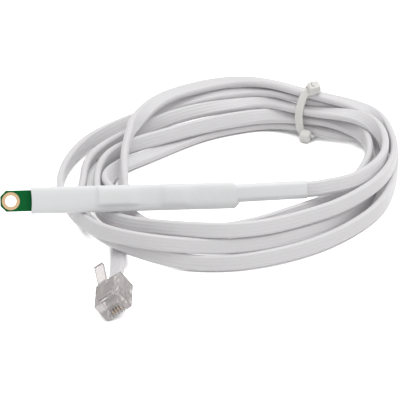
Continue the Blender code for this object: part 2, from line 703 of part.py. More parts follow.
def make_plug_body():
    """Clear moulding: cable pocket, conductor channels, contact slots, crimp windows and latch."""
    half = PLUG_LENGTH / 2
    base = -PLUG_HEIGHT / 2
    body = place("plug_body", box_mesh("plug_body", (PLUG_LENGTH, PLUG_WIDTH, PLUG_HEIGHT)), CLEAR, PLUG)
    bevel(body, PLUG_EDGE, 2)
    combine(body, cutter("latch", latch_mesh(), PLUG), "UNION")
    entry = stadium_outline(CABLE_WIDTH + 2 * POCKET_MARGIN, CABLE_THICKNESS + 2 * POCKET_MARGIN, 6)
    pocket = prism_mesh("cable_pocket", entry, POCKET_DEPTH, "XY")
    pocket.transform(Matrix.Translation((-half, 0, 0)) @ Matrix.Rotation(math.pi / 2, 4, "Z")
                     @ Matrix.Rotation(math.pi / 2, 4, "X"))
    combine(body, cutter("cable_pocket", pocket, PLUG), "DIFFERENCE")
    channel_end = half - CONTACT_RECESS - 0.0004
    for i in range(CONDUCTORS):
        y = plug_offset(i)
        rod = rod_mesh("channel", CHANNEL_RADIUS, (POCKET_DEPTH - half - 0.0005, y, 0), (channel_end, y, 0), 12)
        combine(body, cutter(f"channel_{i + 1}", rod, PLUG), "DIFFERENCE")
    for i in range(PLUG_POSITIONS):
        y = (i - (PLUG_POSITIONS - 1) / 2) * PLUG_PITCH
        wired = 0 < i < PLUG_POSITIONS - 1
        depth = SLOT_DEPTH if wired else SLOT_DEPTH * 0.6
        slot = box_mesh("slot", (SLOT_LENGTH, SLOT_WIDTH, depth * 2), (half - SLOT_LENGTH / 2 + 0.0006, y, base))
        combine(body, cutter(f"slot_{i + 1}", slot, PLUG), "DIFFERENCE")
    strain = [(-half + 0.0016, base - 0.0003), (-half + 0.0016, base + 0.0004), (-half + 0.0044, base + 0.0013),
              (-half + 0.0052, base - 0.0003)]
    combine(body, cutter("strain_window", prism_mesh("strain_window", strain, 0.0032), PLUG), "DIFFERENCE")
    nip = [(-half + 0.0058, base - 0.0003), (-half + 0.0060, base + 0.0007), (-half + 0.0068, base + 0.0007),
           (-half + 0.0070, base - 0.0003)]
    combine(body, cutter("core_window", prism_mesh("core_window", nip, 0.0026), PLUG), "DIFFERENCE")


def plug_offset(index):
    """Side offset of one wired position in the plug."""
    return (index - (CONDUCTORS - 1) / 2) * PLUG_PITCH


def make_plug_metal():
    """Four gold contacts in their slots, and the four conductors under them."""
    half = PLUG_LENGTH / 2
    base = -PLUG_HEIGHT / 2
    front = half - CONTACT_RECESS
    deep = -CONDUCTOR_RADIUS - 0.0001
    blade = [(front - 0.0006, base + 0.0005), (front, base + 0.0012), (front, deep - 0.0008),
             (front - 0.0008, deep), (front - CONTACT_LENGTH + 0.0006, deep), (front - CONTACT_LENGTH, deep - 0.0006),
             (front - CONTACT_LENGTH, base + 0.0005)]
    start = POCKET_DEPTH - half + 0.0001
    for i in range(CONDUCTORS):
        y = plug_offset(i)
        contact = prism_mesh("contact", blade, CONTACT_THICKNESS / 2)
        place(f"plug_contact_{i + 1}", contact, GOLD, PLUG, (0, y, 0))
        core = wire_curve("plug_core", [(start, y, 0), (half - 0.0022, y, 0)], CONDUCTOR_RADIUS * 0.95)
        place(f"plug_conductor_{i + 1}", core, CORES[i], PLUG)


def make_tie():
    """Nylon tie round the coil: a looped strap through its head, with a short trimmed end."""
    stations = np.array(COIL_STATIONS)
    x, y, height, long_half, thin_half, tilt = stations[TIE_STATION]
    outward = ring_axes(stations[:, :3])[TIE_STATION]
    grow = TOUCH + 0.0003
    half_a = long_half + grow + STRAP_SLACK / 2
    half_b = thin_half + grow
    middle = Matrix.Translation((x, y, height + FLOOR))
    out = Vector(outward)
    run = Vector((0, 0, 1)).cross(out)
    frame = Matrix((out, Vector((0, 0, 1)), out.cross(Vector((0, 0, 1))))).transposed().to_4x4()
    pose = middle @ frame @ Matrix.Rotation(math.radians(tilt), 4, "Z") @ Matrix.Translation((-STRAP_SLACK / 2, 0, 0))
    inner = stadium_outline(2 * half_a, 2 * half_b, 10)
    outer = stadium_outline(2 * (half_a + STRAP_THICKNESS), 2 * (half_b + STRAP_THICKNESS), 10)
    strap = flat_curve("cable_tie", [outer, inner], STRAP_WIDTH)
    loop = bpy.data.objects.new("tie_loop", strap)
    PARTS.objects.link(loop)
    mesh = bpy.data.meshes.new_from_object(loop.evaluated_get(bpy.context.evaluated_depsgraph_get()))
    bpy.data.objects.remove(loop, do_unlink=True)
    bm = bmesh.new()
    bm.from_mesh(mesh)
    bmesh.ops.remove_doubles(bm, verts=bm.verts, dist=0.000001)
    bm.to_mesh(mesh)
    bm.free()
    tie = place("cable_tie", mesh, NYLON, ROOT)
    tie.matrix_local = pose
    wide, deep, tall = HEAD_SIZE
    corner = pose @ Matrix.Translation((half_a - half_b, 0, 0)) @ Matrix.Rotation(HEAD_TURN, 4, "Z")
    seat = half_b + STRAP_THICKNESS * 0.4
    head = cutter("tie_head", box_mesh("tie_head", (tall, wide, deep)), ROOT)
    head.matrix_local = corner @ Matrix.Translation((seat + tall / 2, 0, 0))
    bevel(head, 0.0006, 2)
    stub = box_mesh("tie_end", (TIE_TAIL, STRAP_THICKNESS, STRAP_WIDTH * 0.9))
    end = cutter("tie_end", stub, ROOT)
    end.matrix_local = corner @ Matrix.Translation((seat + tall + TIE_TAIL / 2 - 0.0004, 0, 0))
    combine(tie, head, "UNION")
    combine(tie, end, "UNION")
    return run


def centre_on_probe():
    """Moves the whole model, so that the middle of the probe's box is the origin."""
    bpy.context.view_layer.update()
    graph = bpy.context.evaluated_depsgraph_get()
    low, high = Vector((1, 1, 1)), Vector((-1, -1, -1))
    for piece in PARTS.objects:
        if piece.parent == PROBE and piece.type in {"MESH", "CURVE"}:
            seen = piece.evaluated_get(graph)
            mesh = seen.to_mesh()
            for vertex in mesh.vertices:
                point = piece.matrix_world @ vertex.co
                low = Vector(map(min, low, point))
                high = Vector(map(max, high, point))
            seen.to_mesh_clear()
    ROOT.location = -(low + high) / 2
    bpy.context.view_layer.update()


def build():
    """Makes every piece in the order that it is put together."""
    PROBE.rotation_euler = (PROBE_LEAN, 0, 0)
    PLUG.matrix_local = plug_matrix()
    make_board()
    make_sensor_chip()
    make_leaded_chip("controller_chip", CONTROLLER_PINS, CONTROLLER_FROM_TIP, CONTROLLER_SIDE)
    make_leaded_chip("memory_chip", MEMORY_PINS, BOARD_LENGTH - MEMORY_FROM_END, 0.0)
    make_small_part("decoupling_capacitor", CAPACITOR_FROM_TIP, CAPACITOR_HEIGHT, CERAMIC)
    for i, distance in enumerate(RESISTOR_FROM_END):
        make_small_part(f"resistor_{i + 1}", BOARD_LENGTH - distance, RESISTOR_HEIGHT, EPOXY)
    make_board_wiring()
    make_board_sleeve()
    make_cable_sleeve()
    make_coil()
    make_cable_runs()
    make_plug_body()
    make_plug_metal()
    make_tie()
    centre_on_probe()


build()
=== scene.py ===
"""Humidity sensor: a narrow board in white shrink sleeve, on a coiled flat cable with a clear modular plug.

Run as a script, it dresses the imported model: cable, sleeves, tie, plug and board finishes, then the stage.
"""

import math

import bpy
import numpy as np
from bpy.props import FloatProperty, FloatVectorProperty, PointerProperty
from bpy.types import Operator, Panel, PropertyGroup
from mathutils import Matrix, Vector


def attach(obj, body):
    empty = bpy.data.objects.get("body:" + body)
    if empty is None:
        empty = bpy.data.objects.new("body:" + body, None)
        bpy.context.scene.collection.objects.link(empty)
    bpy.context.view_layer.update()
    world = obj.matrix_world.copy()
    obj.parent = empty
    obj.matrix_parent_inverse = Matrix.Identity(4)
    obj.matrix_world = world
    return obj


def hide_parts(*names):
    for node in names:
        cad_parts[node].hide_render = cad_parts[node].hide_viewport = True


bl_info = {
    "name": "Humidity sensor",
    "version": (1, 0, 0),
    "blender": (4, 5, 0),
    "location": "3D View > Sidebar > Sensor",
    "description": "Builds a humidity sensor's cable, sleeves, tie, plug and stage round its model",
    "category": "Object",
}

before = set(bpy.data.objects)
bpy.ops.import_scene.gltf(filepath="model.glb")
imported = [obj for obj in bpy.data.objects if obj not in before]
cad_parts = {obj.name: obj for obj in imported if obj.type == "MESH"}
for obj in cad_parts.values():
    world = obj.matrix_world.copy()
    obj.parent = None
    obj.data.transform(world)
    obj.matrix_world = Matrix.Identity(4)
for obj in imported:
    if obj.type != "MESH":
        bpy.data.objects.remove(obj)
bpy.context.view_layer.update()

# Measures shared with the solids, in metres
PROBE_LEAN = math.radians(58.0)
PROBE_LENGTH = 0.0960
BOARD_LENGTH = 0.0670
FLOOR = -0.0120
CABLE_WIDTH = 0.0050
CABLE_THICKNESS = 0.0024
CABLE_OFFSET = 0.0006
CABLE_DRIFT = 0.0285
JACKET_START = BOARD_LENGTH + 0.0032
CABLE_SLEEVE_START = BOARD_LENGTH + 0.0024
SLEEVE_START = 0.0095
SLEEVE_END = BOARD_LENGTH + 0.0062
SLEEVE_HALF_WIDTH = 0.00415
SLEEVE_FRONT = 0.0020
SLEEVE_BACK = 0.0012
FILM_GAP = 0.00008
ROOT_SHIFT = np.array((-4.3e-6, 3.69e-5, -5.8e-6))

# The film over each chip: how high it rises, then its first mark, last mark, rise and fall, along and across
CHIP_RISES = (
    (0.0010, (0.0304, 0.0420, 0.0008, 0.0035), (-0.00215, 0.0050, 0.0006, 0.0008)),
    (0.00066, (0.0508, 0.0588, 0.0022, 0.0028), (-0.0027, 0.0050, 0.0014, 0.0012)),
)

# Points of the cable's curve between two of its knots, and how far apart the sections then stand
KNOT_STEPS = 8
PATH_STEP = 0.0011
# The cable where it isn't coiled: x, y, height above the floor, and its roll from flat
LEAD_ROUTE = (
    (0.0505, 0.0008, 0.0131, 58.0),
    (0.0529, 0.0014, 0.0131, 58.0),
    (0.0553, 0.0025, 0.0129, 58.0),
    (0.0581, 0.0039, 0.0125, 59.0),
    (0.0627, 0.0071, 0.0117, 62.0),
    (0.0674, 0.0121, 0.0109, 68.0),
    (0.0719, 0.0188, 0.0102, 78.0),
)
TAIL_ROUTE = (
    (-0.0058, 0.0448, 0.0094, 92.0),
    (-0.0077, 0.0373, 0.0076, 88.0),
    (-0.0086, 0.0293, 0.0057, 80.0),
    (-0.0090, 0.0211, 0.0040, 64.0),
    (-0.0094, 0.0132, 0.0022, 32.0),
    (-0.0101, 0.0043, 0.0014, 6.0),
    (-0.0108, -0.0051, 0.0013, 0.0),
    (-0.0115, -0.0134, 0.0014, 4.0),
    (-0.0120, -0.0210, 0.0021, 16.0),
    (-0.0125, -0.0276, 0.0034, 30.0),
    (-0.0131, -0.0340, 0.0048, 36.0),
)

# The coil's centre line, in millimetres: x, y and heading at 24 stations
COIL_LINE = (
    (74.2, 29.1, 87.1), (74.3, 41.3, 99.9), (70.5, 49.9, 137.5), (60.9, 53.6, 160.5),
    (50.9, 56.8, 156.4), (40.5, 62.5, 163.1), (30.7, 63.0, 186.4), (17.4, 59.9, 199.3),
    (4.1, 53.7, 206.7), (-6.1, 48.1, 211.9), (-13.5, 42.7, 227.6), (-18.5, 34.5, 249.2),
    (-20.5, 24.3, 266.0), (-20.0, 13.2, 278.2), (-17.3, 2.1, 293.1), (-10.4, -9.5, 312.0),
    (-1.1, -15.9, 336.4), (10.4, -18.5, 353.1), (22.8, -18.8, 367.3), (35.4, -15.4, 380.6),
    (47.5, -9.5, 390.7), (57.6, -2.2, 402.2), (66.4, 7.7, 409.5), (73.1, 15.9, 430.0),
)
# Each turn's place at those stations: outward offset and height in millimetres, and lean from upright
COIL_TURNS = (
    ((1.00, 9.40, 1.7), (-0.25, 9.49, 30.2), (-1.98, 9.81, 62.1), (-1.71, 9.80, 85.0),
     (-0.98, 9.22, 100.0), (0.71, 7.73, 88.5), (1.52, 6.60, 69.6), (2.74, 5.78, 48.8),
     (3.29, 4.86, 34.1), (2.73, 3.71, 13.4), (2.60, 3.00, -12.1), (1.99, 2.80, -9.7),
     (1.24, 2.72, -2.0), (3.01, 2.68, -7.7), (3.76, 3.58, -19.0), (4.77, 5.29, -27.3),
     (4.31, 4.21, -31.2), (4.60, 2.52, -32.1), (5.09, 2.45, -32.0), (5.92, 2.68, -31.4),
     (6.10, 2.62, -29.3), (5.68, 2.56, -23.7), (5.38, 2.53, -15.4), (2.37, 2.50, -8.7)),
    ((4.21, 2.61, -0.1), (4.63, 3.60, 15.6), (5.46, 6.41, 55.1), (4.41, 9.41, 89.2),
     (2.62, 10.96, 101.5), (4.17, 9.71, 100.7), (7.21, 7.81, 89.3), (8.41, 6.72, 81.3),
     (9.24, 4.87, 60.0), (9.55, 3.47, 42.5), (8.62, 3.04, 20.0), (8.25, 2.69, 1.1),
     (8.56, 2.72, -3.0), (7.88, 4.62, -8.6), (6.57, 5.58, -19.7), (6.49, 8.20, -27.4),
     (4.47, 8.55, -31.2), (2.28, 7.07, -32.1), (1.64, 6.17, -32.0), (2.15, 5.60, -31.6),
     (1.89, 4.73, -29.8), (0.97, 3.62, -24.3), (-0.21, 2.71, -14.4), (-3.25, 2.52, -6.0)),
    ((-1.18, 2.55, 0.4), (-0.54, 2.52, 5.7), (-1.20, 2.60, 37.5), (-1.92, 2.78, 81.8),
     (-0.75, 2.76, 96.1), (-2.46, 1.56, 93.8), (-3.79, 1.34, 92.0), (-5.13, 1.29, 92.3),
     (-6.85, 1.29, 86.9), (-8.34, 1.56, 77.3), (-8.54, 1.91, 68.3), (-7.27, 2.43, 55.7),
     (-6.49, 3.28, 28.2), (-7.85, 4.48, -5.0), (-8.57, 5.27, -16.0), (-7.65, 5.74, -22.4),
     (-6.75, 6.44, -28.0), (-5.86, 7.03, -31.0), (-5.22, 7.78, -32.1), (-4.77, 8.47, -32.3),
     (-5.85, 7.96, -31.3), (-6.18, 6.86, -26.3), (-6.06, 6.20, -18.6), (-7.65, 6.09, -11.0)),
    ((-4.19, 6.17, -2.8), (-3.80, 5.66, 12.8), (-3.31, 5.54, 40.3), (-0.82, 5.98, 78.9),
     (-0.76, 6.02, 79.4), (-3.12, 5.00, 54.4), (-4.55, 4.95, 41.8), (-5.44, 4.99, 36.2),
     (-4.96, 4.81, 35.0), (-3.76, 4.38, 26.8), (-2.68, 3.43, 8.9), (-2.68, 2.77, -2.2),
     (-3.25, 2.62, -0.1), (-2.74, 3.88, -6.8), (-1.50, 4.90, -18.5), (-2.88, 7.42, -26.3),
     (-2.79, 9.47, -29.0), (-1.25, 10.71, -31.2), (-0.26, 10.93, -32.3), (0.40, 10.33, -31.2),
     (0.18, 9.51, -28.3), (0.64, 8.80, -23.3), (1.54, 8.32, -14.1), (0.59, 7.97, -6.7)),
    ((3.84, 7.74, 2.5), (2.99, 8.28, 22.3), (2.97, 9.52, 62.7), (2.67, 12.26, 95.9),
     (2.33, 13.74, 103.8), (5.28, 12.17, 104.6), (10.27, 10.32, 90.8), (9.81, 10.09, 79.2),
     (5.84, 10.27, 65.7), (-1.55, 9.54, 12.0)),
)

# The tie: the coil's station that it is at, its middle's height, and how far it looks for turns to hold
TIE_STATION = 4
TIE_HEIGHT = 0.0088
TIE_REACH = 0.0022
TIE_RADIUS = 0.02
# Degrees round the strap at which the head and the fold sit
HEAD_ANGLE = 97
FOLD_ANGLE = 206
# The strap's lean along the coil and its slack: how much, about which angle, over which spread
STRAP_LEANS = ((-0.0042, 226, 0.55), (-0.0038, 86, 0.6))
STRAP_SLACK = (0.0007, 210, 0.60)
# The head and the fold: half sizes along the strap, across it and outwards, and the power that rounds them
HEAD_SHAPE = ((0.0019, 0.0018, 0.0014), 0.24)
FOLD_SHAPE = ((0.0018, 0.0022, 0.0016), 0.45)

# The plug's pose and body
PLUG_LENGTH = 0.0118
PLUG_WIDTH = 0.00965
PLUG_HEIGHT = 0.0066
PLUG_EDGE = 0.00035
POCKET_DEPTH = 0.0063
POCKET_GAP = 0.0003
PLUG_TURN = math.radians(-94.0)
PLUG_ROLL = math.radians(37.5)
PLUG_NOSE = (-0.0145, -0.0514)


def colour(default, name, description):
    """A linear colour setting."""
    return FloatVectorProperty(name=name, description=description, subtype="COLOR", size=3,
                               min=0.0, max=1.0, default=default)


def length(default, name, description):
    """A size setting in metres."""
    return FloatProperty(name=name, description=description, default=default, min=0.0,
                         unit="LENGTH", precision=5)


def watts(default, name, description):
    """A lamp's power setting."""
    return FloatProperty(name=name, description=description, default=default, min=0.0, unit="POWER")


class CableSettings(PropertyGroup):
    """Flat cable."""

    width: length(CABLE_WIDTH, "Width", "Across the flat cable")
    thickness: length(CABLE_THICKNESS, "Thickness", "Through the flat cable")
    ridge: length(0.00005, "Ridge", "Half the depth of the furrows between the conductors")
    jacket: colour((0.68, 0.67, 0.68), "Jacket", "Colour of the cable's jacket")


class SleeveSettings(PropertyGroup):
    """Shrink sleeves."""

    wall: length(0.00030, "Wall", "Thickness of the shrunk film")
    wrinkle: length(0.000018, "Wrinkle", "Depth of the film's soft wrinkles")
    film: colour((0.79, 0.795, 0.80), "Film", "Colour of the shrink film")


class TieSettings(PropertyGroup):
    """Cable tie."""

    width: length(0.0026, "Strap width", "Across the strap")
    thickness: length(0.0009, "Strap thickness", "Through the strap")
    nylon: colour((0.72, 0.71, 0.685), "Nylon", "Colour of the tie")


class PlugSettings(PropertyGroup):
    """Modular plug."""

    tint: colour((0.70, 0.67, 0.66), "Tint", "Colour of the clear plastic")
    gold: colour((0.66, 0.46, 0.28), "Gold", "Colour of the plated contacts and ring")


class StageSettings(PropertyGroup):
    """Floor, light and camera."""

    floor: colour((0.86, 0.86, 0.86), "Floor", "Colour of the floor")
    sky: FloatProperty(name="Sky", description="Strength of the even light from all round",
                       default=0.70, min=0.0)
    key: watts(3.3, "Key lamp", "Power of the large lamp above")
    fill: watts(0.5, "Fill lamp", "Power of the lamp in front")


class SensorSettings(PropertyGroup):
    """Everything that can be changed on the sensor."""

    cable: PointerProperty(type=CableSettings)
    sleeve: PointerProperty(type=SleeveSettings)
    tie: PointerProperty(type=TieSettings)
    plug: PointerProperty(type=PlugSettings)
    stage: PointerProperty(type=StageSettings)


# Geometry


def natural_curve(knots, per):
    """Points on a natural cubic through rows of knots.

    The parameter grows by the root of each chord, second derivatives solve the usual tridiagonal system, and
    each span is the sum of its ends' values and second derivatives weighted by the two shares a and b.
    """
    rows = np.asarray(knots, float)
    count = len(rows)
    step = np.sqrt(np.linalg.norm(np.diff(rows[:, :3], axis=0), axis=1))
    system = np.diag(np.r_[1.0, 2 * (step[:-1] + step[1:]), 1.0])
    inner = np.arange(1, count - 1)
    system[inner, inner - 1] = step[:-1]
    system[inner, inner + 1] = step[1:]
    slope = np.diff(rows, axis=0) / step[:, None]
    bend = np.zeros_like(rows)
    bend[1:-1] = 6 * np.diff(slope, axis=0)
    second = np.linalg.solve(system, bend)
    share = np.linspace(0, count - 1, (count - 1) * per + 1)
    i = np.minimum(share.astype(int), count - 2)
    b = (share - i)[:, None]
    a = 1 - b
    h = step[i][:, None]
    curved = (a ** 3 - a) * second[i] + (b ** 3 - b) * second[i + 1]
    return a * rows[i] + b * rows[i + 1] + curved * h * h / 6


def even_steps(rows, step):
    """The same run of rows again, at even distances along its first three columns."""
    gone = np.r_[0, np.cumsum(np.linalg.norm(np.diff(rows[:, :3], axis=0), axis=1))]
    wanted = np.linspace(0, gone[-1], int(round(gone[-1] / step)) + 1)
    return np.stack([np.interp(wanted, gone, column) for column in rows.T], axis=1), wanted


def unit(vectors):
    """Rows of vectors, each scaled to a length of one."""
    return vectors / np.linalg.norm(vectors, axis=1)[:, None]


def ribbon_axes(path, lean):
    """Tangent, width and thickness directions of a flat cable.

    Outward is the tangent crossed with up. The width axis turns by the lean, from upright towards outward.
    """
    along = unit(np.gradient(path, axis=0))
    outward = unit(np.cross(along, (0, 0, 1.0)))
    upright = np.cross(outward, along)
    turn = np.radians(lean)[:, None]
    wide = np.cos(turn) * upright + np.sin(turn) * outward
    return along, wide, np.cross(along, wide)


def grid_faces(rows, columns, wrap_rows, wrap_columns):
    """Quads that join each grid point to the next one both ways."""
    down = np.arange(rows if wrap_rows else rows - 1)
    over = np.arange(columns if wrap_columns else columns - 1)
    i, j = (index.ravel() for index in np.meshgrid(down, over, indexing="ij"))
    k, m = (i + 1) % rows, (j + 1) % columns
    quads = np.stack([i * columns + j, k * columns + j, k * columns + m, i * columns + m], axis=1)
    return quads, i, j


def distances(grid, axis):
    """Mean running distance along one way of a grid, closed with its last step."""
    step = np.linalg.norm(np.roll(grid, -1, axis=axis) - grid, axis=2).mean(axis=1 - axis)
    return np.r_[0, np.cumsum(step)]


def skin(name, grid, material, wrap_rows=False, wrap_columns=True, caps=False, smooth=True):
    """A mesh over a grid of points, with a UV map in metres: running distance along rows and round columns.

    Caps close each end row with a fan about its middle.
    """
    rows, columns = grid.shape[:2]
    quads, i, j = grid_faces(rows, columns, wrap_rows, wrap_columns)
    u, v = distances(grid, 0), distances(grid, 1)
    corner_u = np.stack([u[i], u[i + 1], u[i + 1], u[i]], axis=1)
    corner_v = np.stack([v[j], v[j], v[j + 1], v[j + 1]], axis=1)
    points = grid.reshape(-1, 3)
    faces = [tuple(q) for q in quads.tolist()]
    uvs = np.stack([corner_u, corner_v], axis=-1).reshape(-1, 2)
    if caps:
        middles = grid[[0, -1]].mean(axis=1)
        points = np.concatenate([points, middles])
        ring = np.arange(columns)
        after = (ring + 1) % columns
        first = np.stack([ring, after, np.full(columns, rows * columns)], axis=1)
        base = (rows - 1) * columns
        last = np.stack([base + after, base + ring, np.full(columns, rows * columns + 1)], axis=1)
        faces += [tuple(t) for t in np.concatenate([first, last]).tolist()]
        uvs = np.concatenate([uvs, np.zeros((6 * columns, 2))])
    mesh = bpy.data.meshes.new(name)
    mesh.from_pydata(points.tolist(), [], faces)
    layer = mesh.uv_layers.new(name="Surface")
    layer.data.foreach_set("uv", uvs.ravel())
    if smooth:
        mesh.shade_smooth()
    else:
        mesh.shade_flat()
    mesh.materials.append(material)
    mesh.update()
    piece = bpy.data.objects.new(name, mesh)
    bpy.context.scene.collection.objects.link(piece)
    return piece


def outward_faces(piece):
    """Turns a closed piece's faces outwards, where its signed volume says that they point in."""
    mesh = piece.data
    mesh.calc_loop_triangles()
    corners = np.empty(len(mesh.loop_triangles) * 3, int)
    mesh.loop_triangles.foreach_get("vertices", corners)
    points = np.empty(len(mesh.vertices) * 3)
    mesh.vertices.foreach_get("co", points)
    a, b, c = points.reshape(-1, 3)[corners.reshape(-1, 3)].transpose(1, 0, 2)
    if np.einsum("ij,ij->i", a, np.cross(b, c)).sum() < 0:
        mesh.flip_normals()
    return piece


def signed_power(value, p):
    """The size of a value raised to a power, with the value's sign kept."""
    return np.sign(value) * np.abs(value) ** p


def cable_section(width, thickness, ridge, count):
    """The flat cable's section: a stadium whose flat sides sink a little between its four conductors.

    The half width runs as a cosine with its corners pushed out, so that points gather at the round ends. Each
    furrow is a raised cosine over the conductors' pitch.
    """
    turn = np.linspace(0, 2 * np.pi, count, endpoint=False)
    side = np.sign(np.sin(turn))
    x = width / 2 * signed_power(np.cos(turn), 0.8)
    radius = thickness / 2
    past = np.clip(np.abs(x) - (width / 2 - radius), 0, radius)
    y = np.sqrt(np.maximum(radius ** 2 - past ** 2, 0)) * side
    pitch = width * 0.228
    flat = np.abs(x) < width / 2 - radius * 0.7
    return x, y - ridge * (1 + np.cos(2 * np.pi * x / pitch)) * flat * side


def plug_pose():
    """The plug's matrix: X towards its nose, Z towards its latch, its lowest edge on the floor."""
    turn = Matrix.Rotation(PLUG_TURN, 4, "Z") @ Matrix.Rotation(PLUG_ROLL, 4, "X")
    reach = PLUG_WIDTH / 2 * math.sin(PLUG_ROLL) + PLUG_HEIGHT / 2 * math.cos(PLUG_ROLL)
    axis = turn @ Vector((1, 0, 0))
    nose = Vector((*PLUG_NOSE, FLOOR + reach - PLUG_EDGE * 0.4))
    return Matrix.Translation(Vector(ROOT_SHIFT)) @ Matrix.Translation(nose - axis * PLUG_LENGTH / 2) @ turn


def cable_side(along):
    """How far the cable and its sleeve lie to one side of the board's middle."""
    return CABLE_OFFSET + CABLE_DRIFT * (along - SLEEVE_END)


def from_probe(points):
    """Points of the probe's own frame, turned to lean with it: x, across and through."""
    lean, lift = math.cos(PROBE_LEAN), math.sin(PROBE_LEAN)
    x, y, z = np.moveaxis(np.asarray(points, float), -1, 0)
    return np.stack([x, y * lean - z * lift, y * lift + z * lean], axis=-1)


def route_knots(route):
    """Rows of x, y, z and lean from a route's height above the floor and its roll from flat."""
    rows = np.array(route)
    return np.c_[rows[:, :2] + ROOT_SHIFT[:2], rows[:, 2] + FLOOR, rows[:, 3] - 90]


def coil_knots():
    """Rows of x, y, z and lean round the coil: each turn is set off outwards from the one line."""
    line = np.array(COIL_LINE)
    heading = np.radians(line[:, 2])
    outward = np.stack([np.sin(heading), -np.cos(heading)], axis=1)
    rows = []
    for turn in COIL_TURNS:
        place = np.array(turn)
        here = len(place)
        flat = line[:here, :2] + outward[:here] * place[:, :1]
        rows.append(np.c_[flat * 0.001, place[:, 1] * 0.001 + FLOOR, place[:, 2]])
    return np.concatenate(rows)


def cable_knots():
    """Rows of x, y, z and lean along the whole cable, from the jacket's start to the plug's pocket."""
    along = np.linspace(JACKET_START, PROBE_LENGTH, 4)
    side = cable_side(along)
    inside = from_probe(np.stack([along - PROBE_LENGTH / 2, side, 0 * side], axis=1))
    pose = plug_pose()
    seat = POCKET_DEPTH - POCKET_GAP - PLUG_LENGTH / 2
    pocket = [(*(pose @ Vector((x, 0, 0))), math.degrees(PLUG_ROLL) - 90)
              for x in (-PLUG_LENGTH / 2 - 0.0006, -0.0035, seat)]
    return np.concatenate([
        np.c_[inside, np.full(len(along), math.degrees(PROBE_LEAN) - 90)],
        route_knots(LEAD_ROUTE),
        coil_knots(),
        route_knots(TAIL_ROUTE),
        np.array(pocket),
    ])


def cable_path():
    """The cable's centre line at even steps, its lean, and the distance along it."""
    rows, gone = even_steps(natural_curve(cable_knots(), KNOT_STEPS), PATH_STEP)
    return rows[:, :3], rows[:, 3], gone


# Finishes


def nodes_of(name):
    """A new material's tree with its Principled shader, ready to be wired."""
    material = bpy.data.materials.new(name)
    material.use_nodes = True
    tree = material.node_tree
    shader = next(n for n in tree.nodes if n.type == "BSDF_PRINCIPLED")
    return material, tree, shader


def wire(tree, socket, value):
    """Links a socket to another node's output, or sets it to a plain value."""
    if isinstance(value, bpy.types.NodeSocket):
        tree.links.new(value, socket)
    else:
        socket.default_value = value


def add(tree, kind, settings=None, **inputs):
    """A node with its inputs wired by socket name, with spaces for underscores."""
    node = tree.nodes.new(kind)
    for key, value in (settings or {}).items():
        setattr(node, key, value)
    for key, value in inputs.items():
        wire(tree, node.inputs[key.replace("_", " ")], value)
    return node


def maths(tree, operation, *values):
    """A maths node's result, from plain numbers and other nodes' outputs."""
    node = add(tree, "ShaderNodeMath", {"operation": operation})
    for socket, value in zip(node.inputs, values):
        wire(tree, socket, value)
    return node.outputs[0]


def group(name, inputs, outputs):
    """An empty shader group with its sockets and its two end nodes."""
    tree = bpy.data.node_groups.new(name, "ShaderNodeTree")
    for label, kind, value in inputs:
        socket = tree.interface.new_socket(label, in_out="INPUT", socket_type="NodeSocket" + kind)
        if value is not None:
            socket.default_value = value
    for label, kind in outputs:
        tree.interface.new_socket(label, in_out="OUTPUT", socket_type="NodeSocket" + kind)
    return tree, tree.nodes.new("NodeGroupInput"), tree.nodes.new("NodeGroupOutput")


def mottle_group():
    """Slow change of tone: noise moves a colour between a lower and a higher value of itself."""
    tree, start, end = group(
        "Tone drift",
        [("Vector", "Vector", None), ("Colour", "Color", (0.8, 0.8, 0.8, 1)), ("Scale", "Float", 60.0),
         ("Amount", "Float", 0.05)],
        [("Colour", "Color")])
    noise = add(tree, "ShaderNodeTexNoise", Vector=start.outputs["Vector"],
                Scale=start.outputs["Scale"], Detail=3.0)
    centred = maths(tree, "SUBTRACT", noise.outputs["Fac"], 0.5)
    scaled = maths(tree, "MULTIPLY", centred, start.outputs["Amount"])
    tone = add(tree, "ShaderNodeHueSaturation", Color=start.outputs["Colour"],
               Value=maths(tree, "ADD", scaled, 1.0))
    tree.links.new(tone.outputs["Color"], end.inputs["Colour"])
    return tree


def grain_group():
    """Fine moulded surface: two sizes of noise summed to a height.

    The roughness follows the coarse noise, whose scale is a set share of the fine one's.
    """
    coarse_scale, coarse_height = 0.12, 1.6
    tree, start, end = group(
        "Moulded grain",
        [("Vector", "Vector", None), ("Scale", "Float", 900.0), ("Roughness", "Float", 0.4),
         ("Spread", "Float", 0.1)],
        [("Height", "Float"), ("Roughness", "Float")])
    given = start.outputs
    fine = add(tree, "ShaderNodeTexNoise", Vector=given["Vector"], Scale=given["Scale"], Detail=2.0)
    coarse = add(tree, "ShaderNodeTexNoise", Vector=given["Vector"],
                 Scale=maths(tree, "MULTIPLY", given["Scale"], coarse_scale), Detail=2.0)
    height = maths(tree, "MULTIPLY_ADD", coarse.outputs["Fac"], coarse_height, fine.outputs["Fac"])
    tree.links.new(height, end.inputs["Height"])
    centred = maths(tree, "SUBTRACT", coarse.outputs["Fac"], 0.5)
    roughness = maths(tree, "MULTIPLY_ADD", centred, given["Spread"], given["Roughness"])
    tree.links.new(roughness, end.inputs["Roughness"])
    return tree


def scuff_group():
    """Long faint handling marks: noise stretched along the piece's own U, cut to a thin mask."""
    tree, start, end = group("Handling marks", [("Vector", "Vector", None), ("Density", "Float", 0.6)],
                             [("Mask", "Float")])
    stretch = add(tree, "ShaderNodeMapping", Vector=start.outputs["Vector"], Scale=(60.0, 1600.0, 1.0))
    noise = add(tree, "ShaderNodeTexNoise", Vector=stretch.outputs["Vector"], Scale=1.0, Detail=3.0)
    cut = add(tree, "ShaderNodeMapRange", Value=noise.outputs["Fac"],
              From_Min=start.outputs["Density"], From_Max=0.85)
    tree.links.new(cut.outputs["Result"], end.inputs["Mask"])
    return tree


